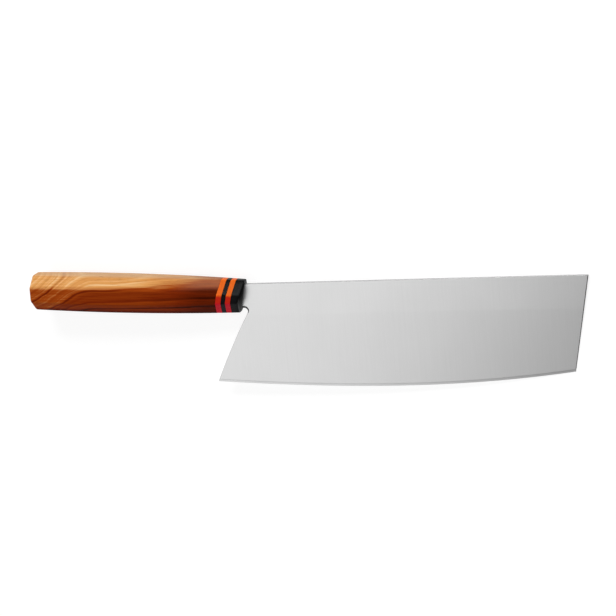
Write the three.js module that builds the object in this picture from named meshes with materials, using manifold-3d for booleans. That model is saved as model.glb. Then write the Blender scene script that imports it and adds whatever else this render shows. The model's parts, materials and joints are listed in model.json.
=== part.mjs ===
// A broad, square-ended kitchen knife with a hidden tang in a swelled octagonal wooden handle,
// lying on its side as it comes to rest on a table.
//
// The pieces are drawn in the knife's own frame, in millimetres: X runs along the spine from the
// collar to the tip, Y points out of the spine, and Z points out of the blade's front face.
// The handle has a frame of its own inside that one, with X along the handle towards the blade.

import * as THREE from "three";
import { mergeVertices } from "three/addons/utils/BufferGeometryUtils.js";
import Module from "manifold-3d";

// Blade outline
const SPINE_LENGTH = 211.4; // from the collar to the upper tip corner
const TIP_HEIGHT = 59.1; // spine to the lower tip corner
const TIP_SLANT_DEG = 9.9; // the square end leans back this far towards the edge
const HEEL_HEIGHT = 63.1; // spine to the heel corner
const HEEL_SLANT_DEG = 28.9; // the heel sweeps back under the handle
const HEEL_BOW = 0.8; // its middle stands out this far from a straight line
const EDGE_HEEL_ANGLE_DEG = 3.9; // the edge drops into its belly from the heel corner
const EDGE_TIP_ANGLE_DEG = 8.2; // and climbs out of it to the tip

// Blade section
const SPINE_THICKNESS_HEEL = 2.2;
const SPINE_THICKNESS_TIP = 1.7;
const SPINE_EASING = 0.25; // chamfer on both arrises of the spine
const GRIND_LINE = 20; // the faces stay flat this far below the spine, then taper to the edge
const BEVEL_HEIGHT = 1.8; // sharpened band along the edge
const BEVEL_THICKNESS = 0.5; // blade thickness where that band starts

// Neck and tang
const NECK_HEIGHT = 15.5;
const NECK_LENGTH = 5.6; // collar face to where the heel line would meet the neck
const NOTCH_RADIUS = 2.2; // finger notch between the neck and the heel
const NECK_SEAT = 1.5; // the neck sits this deep in the collar
const TANG_HEIGHT_FRONT = 9;
const TANG_HEIGHT_END = 6.4;
const TANG_LENGTH = 95; // from the collar face
const TANG_ROUNDING = 1.2; // corners of the tang's end and shoulders

// Handle
const HANDLE_DROOP_DEG = 2.75; // angle between the handle and the spine
const COLLAR_WALL = 2.6; // collar above and below the neck
const COLLAR_LENGTH = 5.4;
const FRONT_RING_LENGTH = 3.2;
const MIDDLE_RING_LENGTH = 2.65;
const REAR_RING_LENGTH = 3.45;
const BODY_LENGTH = 123.8;
const RING_SLANT_DEG = 11; // the collar and rings lean towards the tip at the top
const COLLAR_WIDTH = 18.5;
const COLLAR_SIDE_FLAT = 4.3;
const COLLAR_TOP_FLAT = 4.6;
const SWELL_HEIGHT = 24.1;
const SWELL_WIDTH = 22;
const SWELL_SIDE_FLAT = 9.2;
const SWELL_TOP_FLAT = 7.6;
const BUTT_HEIGHT = 23;
const BUTT_WIDTH = 21.3;
const BUTT_SIDE_FLAT = 9;
const BUTT_TOP_FLAT = 7.5;
const ARRIS_EASING = 0.9; // how far the rounding of an octagon corner reaches along each flat
const COLLAR_CHAMFER = 0.6;
const BUTT_ROUNDING = 1.8;

// Inside the handle
const DOWEL_WALL = 1.5; // dowel above and below the tang
const TANG_BEYOND_DOWEL = 37; // the end of the tang is held by adhesive alone
const ADHESIVE_WALL = 0.6; // adhesive above and below the tang, behind the dowel
const ADHESIVE_BEYOND_TANG = 2;
const DRILL_POINT_DEG = 118;
const GLUE_LINE = 0.1; // between faces that are glued together
const FIT = 0.15; // all round the tang, the dowel and the adhesive

// Densities in grams per cubic millimetre, which decide how the knife settles
const STEEL_DENSITY = 0.0078;
const WOOD_DENSITY = 0.0007;
const PLASTIC_DENSITY = 0.0013;

// Steps in the curved surfaces
const EDGE_STEPS = 40;
const HEEL_STEPS = 8;
const BODY_STEPS = 20;
const BUTT_STEPS = 3;
const ROUND_SIDES = 32;
const ARC_STEPS = 8;

// Cutting shapes reach this far past the faces that they cut
const OVERCUT = 4;

// Corners of a surface that are closer than this are one corner
const SAME_CORNER = 1e-4;

const wasm = await Module();
wasm.setup();

const rad = THREE.MathUtils.degToRad;
const { lerp, mapLinear } = THREE.MathUtils;

// Solids

function toSolid(geometry) {
  const bare = new THREE.BufferGeometry();
  bare.setAttribute("position", geometry.getAttribute("position"));
  bare.setIndex(geometry.index);
  const merged = mergeVertices(bare, SAME_CORNER);
  const corners = merged.index.array;
  const triangles = [];
  for (let i = 0; i < corners.length; i += 3) {
    const [a, b, c] = corners.subarray(i, i + 3);
    if (a !== b && b !== c && c !== a) triangles.push(a, b, c);
  }
  return new wasm.Manifold(
    new wasm.Mesh({
      numProp: 3,
      vertProperties: merged.getAttribute("position").array,
      triVerts: new Uint32Array(triangles),
    }),
  );
}

function toGeometry(solid) {
  const { vertProperties, triVerts } = solid.getMesh();
  const shared = new THREE.BufferGeometry();
  shared.setAttribute("position", new THREE.BufferAttribute(vertProperties, 3));
  shared.setIndex(new THREE.BufferAttribute(triVerts, 1));
  const facets = shared.toNonIndexed();
  facets.computeVertexNormals();
  return facets;
}

// Takes the cutting shapes out of a body
function cut(body, ...tools) {
  return toGeometry(tools.map(toSolid).reduce((solid, tool) => solid.subtract(tool), toSolid(body)));
}

// Skins convex rings of equal length that advance along X, and caps both ends.
// Each ring runs from Y towards Z.
function loft(rings) {
  const count = rings[0].length;
  const last = (rings.length - 1) * count;
  const index = [];
  for (let start = 0; start < last; start += count) {
    for (let i = 0; i < count; i++) {
      const a = start + i;
      const b = start + ((i + 1) % count);
      index.push(a, b, b + count, a, b + count, a + count);
    }
  }
  for (let i = 1; i + 1 < count; i++) {
    index.push(0, i + 1, i);
    index.push(last, last + i, last + i + 1);
  }
  return new THREE.BufferGeometry().setFromPoints(rings.flat()).setIndex(index);
}

// A closed outline of corners [x, y, radius], the radius being 0 where it is left out
function roundedOutline(corners) {
  const shape = new THREE.Shape();
  corners.forEach(([x, y, radius = 0], i) => {
    const corner = new THREE.Vector2(x, y);
    const [previousX, previousY] = corners.at(i - 1);
    const [nextX, nextY] = corners[(i + 1) % corners.length];
    const back = new THREE.Vector2(previousX, previousY).sub(corner).normalize();
    const ahead = new THREE.Vector2(nextX, nextY).sub(corner).normalize();
    const half = Math.acos(back.dot(ahead)) / 2;
    const from = corner.clone().addScaledVector(back, radius / Math.tan(half));
    const to = corner.clone().addScaledVector(ahead, radius / Math.tan(half));
    if (i === 0) shape.moveTo(from.x, from.y);
    else shape.lineTo(from.x, from.y);
    if (radius === 0) return;
    const inward = back.clone().add(ahead).normalize();
    const centre = corner.clone().addScaledVector(inward, radius / Math.sin(half));
    const startAngle = from.sub(centre).angle();
    const endAngle = to.sub(centre).angle();
    shape.absarc(centre.x, centre.y, radius, startAngle, endAngle, back.cross(ahead) > 0);
  });
  shape.closePath();
  return shape;
}

// A plate of the given outline, centred on Z = 0
function plate(corners, thickness) {
  const options = { depth: thickness, bevelEnabled: false, curveSegments: ARC_STEPS };
  return new THREE.ExtrudeGeometry(roundedOutline(corners), options).translate(0, 0, -thickness / 2);
}

// A solid turned about the handle's axis: the profile is [radius, station] from front to rear
function turned(profile) {
  const points = profile.map(([radius, station]) => new THREE.Vector2(radius, station));
  return new THREE.LatheGeometry(points, ROUND_SIDES).rotateZ(Math.PI / 2);
}

// Handle frame, with its origin in the middle of the collar's front face.
// A station is a distance from there along the handle to the rear.

const handle = new THREE.Group();
handle.position.set(0, -NECK_HEIGHT / 2, 0);
handle.rotation.z = -rad(HANDLE_DROOP_DEG);
handle.updateMatrix();

const FRONT_RING_START = COLLAR_LENGTH + GLUE_LINE;
const MIDDLE_RING_START = FRONT_RING_START + FRONT_RING_LENGTH + GLUE_LINE;
const REAR_RING_START = MIDDLE_RING_START + MIDDLE_RING_LENGTH + GLUE_LINE;
const BODY_START = REAR_RING_START + REAR_RING_LENGTH + GLUE_LINE;
const HANDLE_LENGTH = BODY_START + BODY_LENGTH;

const ringSlant = Math.tan(rad(RING_SLANT_DEG));

// The cross-sections lean with the collar and rings, and straighten up towards the butt
function slantAt(station) {
  return ringSlant * Math.min((HANDLE_LENGTH - station) / BODY_LENGTH, 1);
}

function fromHandle([x, y]) {
  const point = new THREE.Vector3(x, y, 0).applyMatrix4(handle.matrix);
  return [point.x, point.y];
}

function toHandle([x, y]) {
  const point = new THREE.Vector3(x, y, 0).applyMatrix4(handle.matrix.clone().invert());
  return [point.x, point.y];
}

// Blade: one piece of stainless steel with its neck and tang

const tipRun = Math.tan(rad(TIP_SLANT_DEG));
const heelRun = Math.tan(rad(HEEL_SLANT_DEG));

// Half the neck's height, above and below the handle's axis at the collar
const neckHalf = NECK_HEIGHT / 2;
const [collarFaceX] = fromHandle([-neckHalf * ringSlant, -neckHalf]);
const heelTop = new THREE.Vector2(collarFaceX + NECK_LENGTH, -NECK_HEIGHT);
const tipLow = new THREE.Vector2(SPINE_LENGTH - TIP_HEIGHT * tipRun, -TIP_HEIGHT);
const heel = new THREE.Vector2(heelTop.x - (HEEL_HEIGHT - NECK_HEIGHT) * heelRun, -HEEL_HEIGHT);

// The tang's sides in the handle frame, moved out by grow, from ahead of its shoulders to its end
function tangOutline(grow, ahead) {
  const front = TANG_HEIGHT_FRONT / 2 + grow;
  const end = TANG_HEIGHT_END / 2 + grow;
  const rear = -TANG_LENGTH - grow;
  return [
    [ahead, front],
    [rear, end],
    [rear, -end],
    [ahead, -front],
  ];
}

// The neck's seat in the handle frame, moved out by grow, from ahead of the collar to its floor
function seatOutline(grow, depth) {
  const [, top] = toHandle([0, grow]);
  const [, bottom] = toHandle([collarFaceX, -NECK_HEIGHT - grow]);
  return [
    [OVERCUT + top * ringSlant, top],
    [top * ringSlant - depth, top],
    [bottom * ringSlant - depth, bottom],
    [OVERCUT + bottom * ringSlant, bottom],
  ];
}

// The bowed heel below the notch, to its corner and straight on from there
function heelOutline() {
  const chord = heel.clone().sub(heelTop);
  const bow = new THREE.Vector2(chord.y, -chord.x).setLength(4 * HEEL_BOW);
  const curve = Array.from({ length: HEEL_STEPS }, (_, i) => {
    const t = (i + 1) / HEEL_STEPS;
    return heelTop.clone().addScaledVector(chord, t).addScaledVector(bow, t * (1 - t));
  });
  const beyond = heel.clone().add(chord).sub(bow);
  return [...curve, beyond].map(({ x, y }) => [x, y]);
}

// The flat blank, left wide at the spine, edge and tip where grinding brings it to size
function blankOutline() {
  const heelCorners = heelOutline();
  const [, , seatBottom] = seatOutline(0, NECK_SEAT);
  const [, tangTop, tangBottom] = tangOutline(0, 0);
  const shoulderAt = (y) => fromHandle([-NECK_SEAT + y * ringSlant, y]);
  const tangHalf = TANG_HEIGHT_FRONT / 2;
  return [
    [SPINE_LENGTH + OVERCUT, OVERCUT],
    shoulderAt(neckHalf + OVERCUT),
    [...shoulderAt(tangHalf), TANG_ROUNDING],
    [...fromHandle(tangTop), TANG_ROUNDING],
    [...fromHandle(tangBottom), TANG_ROUNDING],
    [...shoulderAt(-tangHalf), TANG_ROUNDING],
    fromHandle(seatBottom),
    [heelTop.x, heelTop.y, NOTCH_RADIUS],
    ...heelCorners,
    [SPINE_LENGTH + OVERCUT, heelCorners.at(-1)[1]],
  ];
}

// The ground form: eased spine, flat upper faces that thin towards the tip, tapered lower faces,
// and the sharpened band along a gently bellied edge. Its sections lean more and more towards the
// tip, and the last one is the square end.
function groundForm() {
  const third = (tipLow.x - heel.x) / 3;
  const heelDip = third * Math.tan(rad(EDGE_HEEL_ANGLE_DEG));
  const tipDip = third * Math.tan(rad(EDGE_TIP_ANGLE_DEG));
  const edge = new THREE.CubicBezierCurve(
    heel,
    new THREE.Vector2(heel.x + third, heel.y - heelDip),
    new THREE.Vector2(tipLow.x - third, tipLow.y - tipDip),
    tipLow,
  );
  const thicknessAt = (x) =>
    mapLinear(Math.max(x, heel.x), heel.x, SPINE_LENGTH, SPINE_THICKNESS_HEEL, SPINE_THICKNESS_TIP);
  const section = (t) => {
    const low = edge.getPoint(t);
    const at = (y, halfThickness) => {
      const x = low.x + (y - low.y) * tipRun * Math.max(t, 0);
      return new THREE.Vector3(x, y, halfThickness ?? thicknessAt(x) / 2);
    };
    const top = at(0);
    top.z -= SPINE_EASING;
    const front = [top, at(-SPINE_EASING), at(-GRIND_LINE), at(low.y + BEVEL_HEIGHT, BEVEL_THICKNESS / 2)];
    const back = front.map(({ x, y, z }) => new THREE.Vector3(x, y, -z)).reverse();
    return [...front, at(low.y, 0), ...back];
  };
  const rear = mapLinear(-TANG_LENGTH - OVERCUT, heel.x, tipLow.x, 0, 1);
  const steps = Array.from({ length: EDGE_STEPS + 1 }, (_, i) => i / EDGE_STEPS);
  return loft([rear, ...steps].map(section));
}

function bladeGeometry() {
  const blank = toSolid(plate(blankOutline(), 2 * SPINE_THICKNESS_HEEL));
  return toGeometry(blank.intersect(toSolid(groundForm())));
}

// Handle: collar, three rings and the wooden body share one swelled octagonal surface

// A size that runs through its values at the collar, half-way and at the butt on one parabola
function along(station, atCollar, atMiddle, atButt) {
  const s = station / HANDLE_LENGTH;
  return atCollar * (1 - s) * (1 - 2 * s) + atMiddle * 4 * s * (1 - s) + atButt * s * (2 * s - 1);
}

// The octagon at a station, drawn in by inset, with its corners eased
function octagon(station, inset = 0) {
  const flatInset = 2 * inset * Math.tan(Math.PI / 8);
  const collarHeight = NECK_HEIGHT + 2 * COLLAR_WALL;
  const top = along(station, collarHeight, SWELL_HEIGHT, BUTT_HEIGHT) / 2 - inset;
  const side = along(station, COLLAR_WIDTH, SWELL_WIDTH, BUTT_WIDTH) / 2 - inset;
  const sideFlat = along(station, COLLAR_SIDE_FLAT, SWELL_SIDE_FLAT, BUTT_SIDE_FLAT) - flatInset;
  const topFlat = along(station, COLLAR_TOP_FLAT, SWELL_TOP_FLAT, BUTT_TOP_FLAT) - flatInset;
  const quarter = [
    [top, topFlat / 2],
    [sideFlat / 2, side],
  ];
  const half = [...quarter, ...quarter.map(([y, z]) => [-y, z]).reverse()];
  const whole = [...half, ...half.map(([y, z]) => [y, -z]).reverse()];
  const corners = whole.map(([y, z]) => new THREE.Vector2(y, z));
  const eased = corners.flatMap((corner, i) => {
    const towards = (other) => other.clone().sub(corner).setLength(ARRIS_EASING).add(corner);
    const from = towards(corners.at(i - 1));
    const to = towards(corners[(i + 1) % corners.length]);
    return [from, new THREE.QuadraticBezierCurve(from, corner, to).getPoint(0.5), to];
  });
  return eased.map(({ x: y, y: z }) => new THREE.Vector3(y * slantAt(station) - station, y, z));
}

const dowelRadius = TANG_HEIGHT_FRONT / 2 + FIT + DOWEL_WALL;
const seatDepth = NECK_SEAT + TANG_ROUNDING + FIT; // clears the rounding in the tang's shoulders
const dowelStart = seatDepth + dowelRadius * ringSlant + FIT;
const dowelEnd = TANG_LENGTH - TANG_BEYOND_DOWEL;
const adhesiveRadius = TANG_HEIGHT_FRONT / 2 + FIT + ADHESIVE_WALL;
const adhesiveStart = dowelEnd + GLUE_LINE;
const adhesiveEnd = TANG_LENGTH + ADHESIVE_BEYOND_TANG;
const drillPoint = 1 / Math.tan(rad(DRILL_POINT_DEG / 2));

// The hole for the dowel, from the collar's seat to the end of the dowel
function dowelHole(front, rear) {
  const radius = dowelRadius + FIT;
  return turned([[0, front], [radius, front], [radius, rear], [0, rear]]);
}

function tangSlot() {
  return plate(tangOutline(FIT, OVERCUT), SPINE_THICKNESS_HEEL + 2 * FIT);
}

function collarGeometry() {
  const outside = loft([octagon(COLLAR_LENGTH), octagon(COLLAR_CHAMFER), octagon(0, COLLAR_CHAMFER)]);
  const seat = plate(seatOutline(FIT, seatDepth), SPINE_THICKNESS_HEEL + 2 * FIT);
  return cut(outside, dowelHole(dowelStart - FIT, COLLAR_LENGTH + OVERCUT), seat, tangSlot());
}

function ringGeometry(start, length) {
  const outside = loft([octagon(start + length), octagon(start)]);
  return cut(outside, dowelHole(start - OVERCUT, start + length + OVERCUT));
}

// The wooden body with its rounded butt, drilled for the dowel and, narrower, for the tang
function bodyGeometry() {
  const straightEnd = HANDLE_LENGTH - BUTT_ROUNDING;
  const butt = Array.from({ length: BUTT_STEPS }, (_, i) => {
    const angle = (Math.PI / 2) * (1 - i / BUTT_STEPS);
    return octagon(straightEnd + BUTT_ROUNDING * Math.sin(angle), BUTT_ROUNDING * (1 - Math.cos(angle)));
  });
  const barrel = Array.from({ length: BODY_STEPS + 1 }, (_, i) =>
    octagon(lerp(straightEnd, BODY_START, i / BODY_STEPS)),
  );
  const tangHoleRadius = adhesiveRadius + FIT;
  const tangHoleEnd = adhesiveEnd + FIT;
  const tangHole = turned([
    [0, BODY_START - OVERCUT],
    [tangHoleRadius, BODY_START - OVERCUT],
    [tangHoleRadius, tangHoleEnd],
    [0, tangHoleEnd + tangHoleRadius * drillPoint],
  ]);
  return cut(loft([...butt, ...barrel]), dowelHole(BODY_START - OVERCUT, dowelEnd), tangHole);
}

function dowelGeometry() {
  const rod = turned([[0, dowelStart], [dowelRadius, dowelStart], [dowelRadius, dowelEnd], [0, dowelEnd]]);
  return cut(rod, tangSlot());
}

// The set adhesive that fills the drilled hole round the end of the tang
function adhesiveGeometry() {
  const fill = turned([
    [0, adhesiveStart],
    [adhesiveRadius, adhesiveStart],
    [adhesiveRadius, adhesiveEnd],
    [0, adhesiveEnd + adhesiveRadius * drillPoint],
  ]);
  return cut(fill, tangSlot());
}

// Pieces

function piece(name, geometry, density, color, roughness, metalness = 0) {
  const mesh = new THREE.Mesh(geometry, new THREE.MeshStandardMaterial({ color, roughness, metalness }));
  mesh.name = name;
  mesh.userData.density = density;
  return mesh;
}

const RED = "#d4471f";
const BLACK = "#121214";

handle.add(
  piece("collar", collarGeometry(), PLASTIC_DENSITY, BLACK, 0.25),
  piece("front_ring", ringGeometry(FRONT_RING_START, FRONT_RING_LENGTH), PLASTIC_DENSITY, RED, 0.35),
  piece("middle_ring", ringGeometry(MIDDLE_RING_START, MIDDLE_RING_LENGTH), PLASTIC_DENSITY, BLACK, 0.35),
  piece("rear_ring", ringGeometry(REAR_RING_START, REAR_RING_LENGTH), PLASTIC_DENSITY, RED, 0.35),
  piece("handle_body", bodyGeometry(), WOOD_DENSITY, "#8a4a20", 0.45),
  piece("core_dowel", dowelGeometry(), WOOD_DENSITY, "#c9a272", 0.7),
  piece("tang_adhesive", adhesiveGeometry(), PLASTIC_DENSITY, "#cfc6a4", 0.5),
);

const knife = new THREE.Group();
knife.add(piece("blade", bladeGeometry(), STEEL_DENSITY, "#c8c9cb", 0.35, 1), handle);

// Rest: the knife lies on its back face, on the three points under its centre of mass

function trianglesOf(mesh) {
  const positions = mesh.geometry.getAttribute("position");
  const corners = Array.from({ length: positions.count }, (_, i) =>
    new THREE.Vector3().fromBufferAttribute(positions, i).applyMatrix4(mesh.matrixWorld),
  );
  return Array.from({ length: corners.length / 3 }, (_, i) => corners.slice(3 * i, 3 * i + 3));
}

function centreOfMass(meshes) {
  const centre = new THREE.Vector3();
  let mass = 0;
  for (const mesh of meshes) {
    for (const [a, b, c] of trianglesOf(mesh)) {
      const share = (mesh.userData.density * a.dot(b.clone().cross(c))) / 6;
      centre.addScaledVector(a.clone().add(b).add(c), share / 4);
      mass += share;
    }
  }
  return centre.divideScalar(mass);
}

// The plane that touches the points from below on three corners round the centre.
// It starts on three corners far out and high up, and drops on to the lowest point left.
function planeBelow(points, centre) {
  const flat = ({ x, y }) => new THREE.Vector3(x, y, 0);
  const surrounds = (three) => new THREE.Triangle(...three.map(flat)).containsPoint(flat(centre));
  const far = 100 * SPINE_LENGTH;
  let corners = [
    new THREE.Vector3(-far, -far, far),
    new THREE.Vector3(far, -far, far),
    new THREE.Vector3(0, far, far),
  ];
  for (;;) {
    const plane = new THREE.Plane().setFromCoplanarPoints(...corners);
    if (plane.normal.z < 0) plane.negate();
    const heights = points.map((point) => plane.distanceToPoint(point));
    const lowest = heights.reduce((best, height, i) => (height < heights[best] ? i : best), 0);
    if (heights[lowest] > -SAME_CORNER) return plane;
    corners = corners.map((_, i) => corners.with(i, points[lowest])).find(surrounds);
  }
}

knife.updateMatrixWorld(true);
const meshes = [];
knife.traverse((object) => object.isMesh && meshes.push(object));
const table = planeBelow(meshes.flatMap(trianglesOf).flat(), centreOfMass(meshes));
knife.quaternion.setFromUnitVectors(table.normal, new THREE.Vector3(0, 0, 1));

// The origin is on the table, under the middle of the knife
const box = new THREE.Box3().setFromObject(knife, true);
const middle = box.getCenter(new THREE.Vector3());
knife.position.set(-middle.x, -middle.y, -box.min.z);

const group = new THREE.Group();
group.add(knife);

export default group;
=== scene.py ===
"""A broad kitchen knife with a swelled octagonal handle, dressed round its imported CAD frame."""

import json
import math
from collections import namedtuple

import bmesh
import bpy
from bpy.props import FloatProperty, FloatVectorProperty, IntProperty, PointerProperty
from mathutils import Matrix, Vector, geometry


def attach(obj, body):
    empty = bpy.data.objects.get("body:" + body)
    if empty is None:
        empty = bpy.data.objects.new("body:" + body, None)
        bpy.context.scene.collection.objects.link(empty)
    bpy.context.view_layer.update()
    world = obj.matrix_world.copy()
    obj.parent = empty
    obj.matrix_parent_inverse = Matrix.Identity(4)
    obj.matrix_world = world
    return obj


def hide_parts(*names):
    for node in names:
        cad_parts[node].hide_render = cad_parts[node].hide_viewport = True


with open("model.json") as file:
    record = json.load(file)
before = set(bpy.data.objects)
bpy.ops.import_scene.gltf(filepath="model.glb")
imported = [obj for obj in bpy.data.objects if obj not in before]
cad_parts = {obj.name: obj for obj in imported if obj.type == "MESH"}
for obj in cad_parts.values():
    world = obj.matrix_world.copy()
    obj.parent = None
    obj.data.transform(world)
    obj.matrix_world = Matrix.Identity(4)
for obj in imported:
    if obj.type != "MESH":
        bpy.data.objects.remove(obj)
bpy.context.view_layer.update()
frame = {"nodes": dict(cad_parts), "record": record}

bl_info = {
    "name": "Octagonal Handle Knife",
    "version": (1, 0, 0),
    "blender": (4, 5, 0),
    "location": "View3D > Sidebar > Knife",
    "description": "Dresses a broad kitchen knife with an octagonal wooden handle",
    "category": "Object",
}

MOUNTS = {mount["name"]: mount for mount in frame["record"]["mounts"]}
BODY = "root"
MM = 0.001
PHOTO_PIXELS = 616
SENSOR = 36.0
# Points closer than this are one point, and a blade thinner than SHARP is its edge
WELD = 0.0005 * MM
SHARP = 0.001 * MM
# Edges bent less than this are shaded smooth: facets stay crisp, and so does the blade's faint grind line
FACET_ANGLE = 30
GRIND_ANGLE = 0.4
# Steps round a corner of the blade's outline, and round its eased rim
CORNER_STEPS = 10
RIM_STEPS = 6
# The easing changes over these lengths at the tip and at the neck
TIP_BLEND = 2 * MM
NECK_BLEND = 0.8 * MM
# The heel's points keep this far from the ends of the grind line and the sharpened band
HEEL_CLEARANCE = 1 * MM
# An eased rim reaches at most this share of half the thickness, in along the face and down from it
REACH_LIMIT = 1.5
DROP_LIMIT = 0.9
# Where two parts of the outline meet at a sharper angle, the easing isn't stretched further
LEAST_SPREAD = 0.3
# Rounds in which a point's section is found, and in which a point of the heel is
SEARCH_STEPS = 6
HALVING_STEPS = 40
# Bore of a profile point that lies on the handle's outside
OUTSIDE = -1 * MM
MATH = "ShaderNodeMath"
VECTOR = "ShaderNodeVectorMath"
RANGE = "ShaderNodeMapRange"
NOISE = "ShaderNodeTexNoise"
MIX = "ShaderNodeMix"
RAMP = "ShaderNodeValToRGB"
SPLIT = "ShaderNodeSeparateXYZ"
JOIN = "ShaderNodeCombineXYZ"
SAMPLE = "GeometryNodeSampleIndex"
SWITCH = "GeometryNodeSwitch"
# A chain of nodes is arithmetic, apart from these operations: their nodes, and the setting that names them
CHAIN_KINDS = {
    "SMOOTHSTEP": (RANGE, "interpolation_type"),
    "LINEAR": (RANGE, "interpolation_type"),
    "1D": (NOISE, "noise_dimensions"),
}
# The blade's four finishes, in the order of its materials
SATIN, HONED, GROUND, CUT_PAINTED_DARK = range(4)
RimPoint = namedtuple("RimPoint", "spot rounding finish mark")


def linear(code):
    """A colour written as an sRGB hex value, in the linear numbers that Blender works with"""
    shares = [int(code[i : i + 2], 16) / 255 for i in (1, 3, 5)]
    return tuple(c / 12.92 if c <= 0.04045 else ((c + 0.055) / 1.055) ** 2.4 for c in shares)


def length(name, millimetres, description):
    """A setting for a length"""
    return FloatProperty(
        name=name, description=description, default=millimetres * MM, unit="LENGTH", precision=5
    )


def angle(name, degrees, description):
    """A setting for an angle"""
    return FloatProperty(
        name=name, description=description, default=math.radians(degrees), subtype="ANGLE", unit="ROTATION"
    )


def colour(name, code, description):
    """A setting for a colour written as an sRGB hex value"""
    return FloatVectorProperty(
        name=name, description=description, default=linear(code), subtype="COLOR", min=0, max=1
    )


def count(name, number, least, description):
    """A setting for a number of points or steps"""
    return IntProperty(name=name, description=description, default=number, min=least)


def power(name, watts, description):
    """A setting for a lamp's power"""
    return FloatProperty(name=name, description=description, default=watts, unit="POWER", min=0)


class BladeSettings(bpy.types.PropertyGroup):
    """Sizes and colours of the blade"""

    spine_length: length("Spine Length", 211.4, "From the collar to the upper tip corner")
    tip_height: length("Tip Height", 59.1, "From the spine to the lower tip corner")
    tip_slant: angle("Tip Slant", 9.9, "How far the square end leans back towards the edge")
    heel_height: length("Heel Height", 63.1, "From the spine to the heel corner")
    heel_slant: angle("Heel Slant", 28.9, "How far the heel sweeps back under the handle")
    heel_bow: length("Heel Bow", 0.8, "How far the middle of the heel stands out from a straight line")
    edge_heel_angle: angle("Edge Angle at Heel", 3.9, "How steeply the edge drops into its belly")
    edge_tip_angle: angle("Edge Angle at Tip", 8.2, "How steeply the edge climbs to the tip")
    thickness_heel: length("Thickness at Heel", 2.2, "Spine thickness at the heel")
    thickness_tip: length("Thickness at Tip", 1.7, "Spine thickness at the tip")
    grind_line: length("Grind Line", 20, "The faces stay flat this far below the spine")
    bevel_height: length("Bevel Height", 1.8, "Height of the sharpened band")
    bevel_thickness: length("Bevel Thickness", 0.5, "Blade thickness where the sharpened band starts")
    neck_height: length("Neck Height", 15.5, "Height of the neck at the collar")
    neck_length: length("Neck Length", 5.6, "From the collar's face to the heel line")
    neck_seat: length("Neck Seat", 1.5, "How deep the neck sits in the collar")
    notch_radius: length("Notch Radius", 2.2, "Finger notch between the neck and the heel")
    tang_front: length("Tang Height at Front", 9, "Height of the tang behind its shoulders")
    tang_end: length("Tang Height at End", 6.4, "Height of the tang at its end")
    tang_length: length("Tang Length", 95, "From the collar's face to the end of the tang")
    tang_rounding: length("Tang Rounding", 1.2, "Rounding of the tang's corners")
    spine_rounding: length("Spine Rounding", 0.2, "Radius of the eased spine")
    tip_rounding: length("Tip Rounding", 0.45, "Radius of the eased square end")
    notch_rounding: length("Notch Rounding", 1.6, "Reach of the eased neck and notch")
    rim_rounding: length("Rim Rounding", 0.16, "Radius of the eased heel and tang")
    heel_steps: count("Heel Steps", 24, 4, "Steps along the heel")
    edge_steps: count("Edge Steps", 112, 8, "Steps along the edge")
    steel: colour("Steel", "#cfcfcf", "Satin stainless steel")
    honed: colour("Honed Steel", "#dadada", "Freshly honed steel on the sharpened band")
    ground: colour("Ground Steel", "#b4b4b4", "Spine and heel, ground along their length")
    # Painted shade: this dark colour stands in for the shade along the square end and the notch
    cut: colour("Cut Steel", "#4c4c4c", "Square end and notch, left as they were cut")


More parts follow.
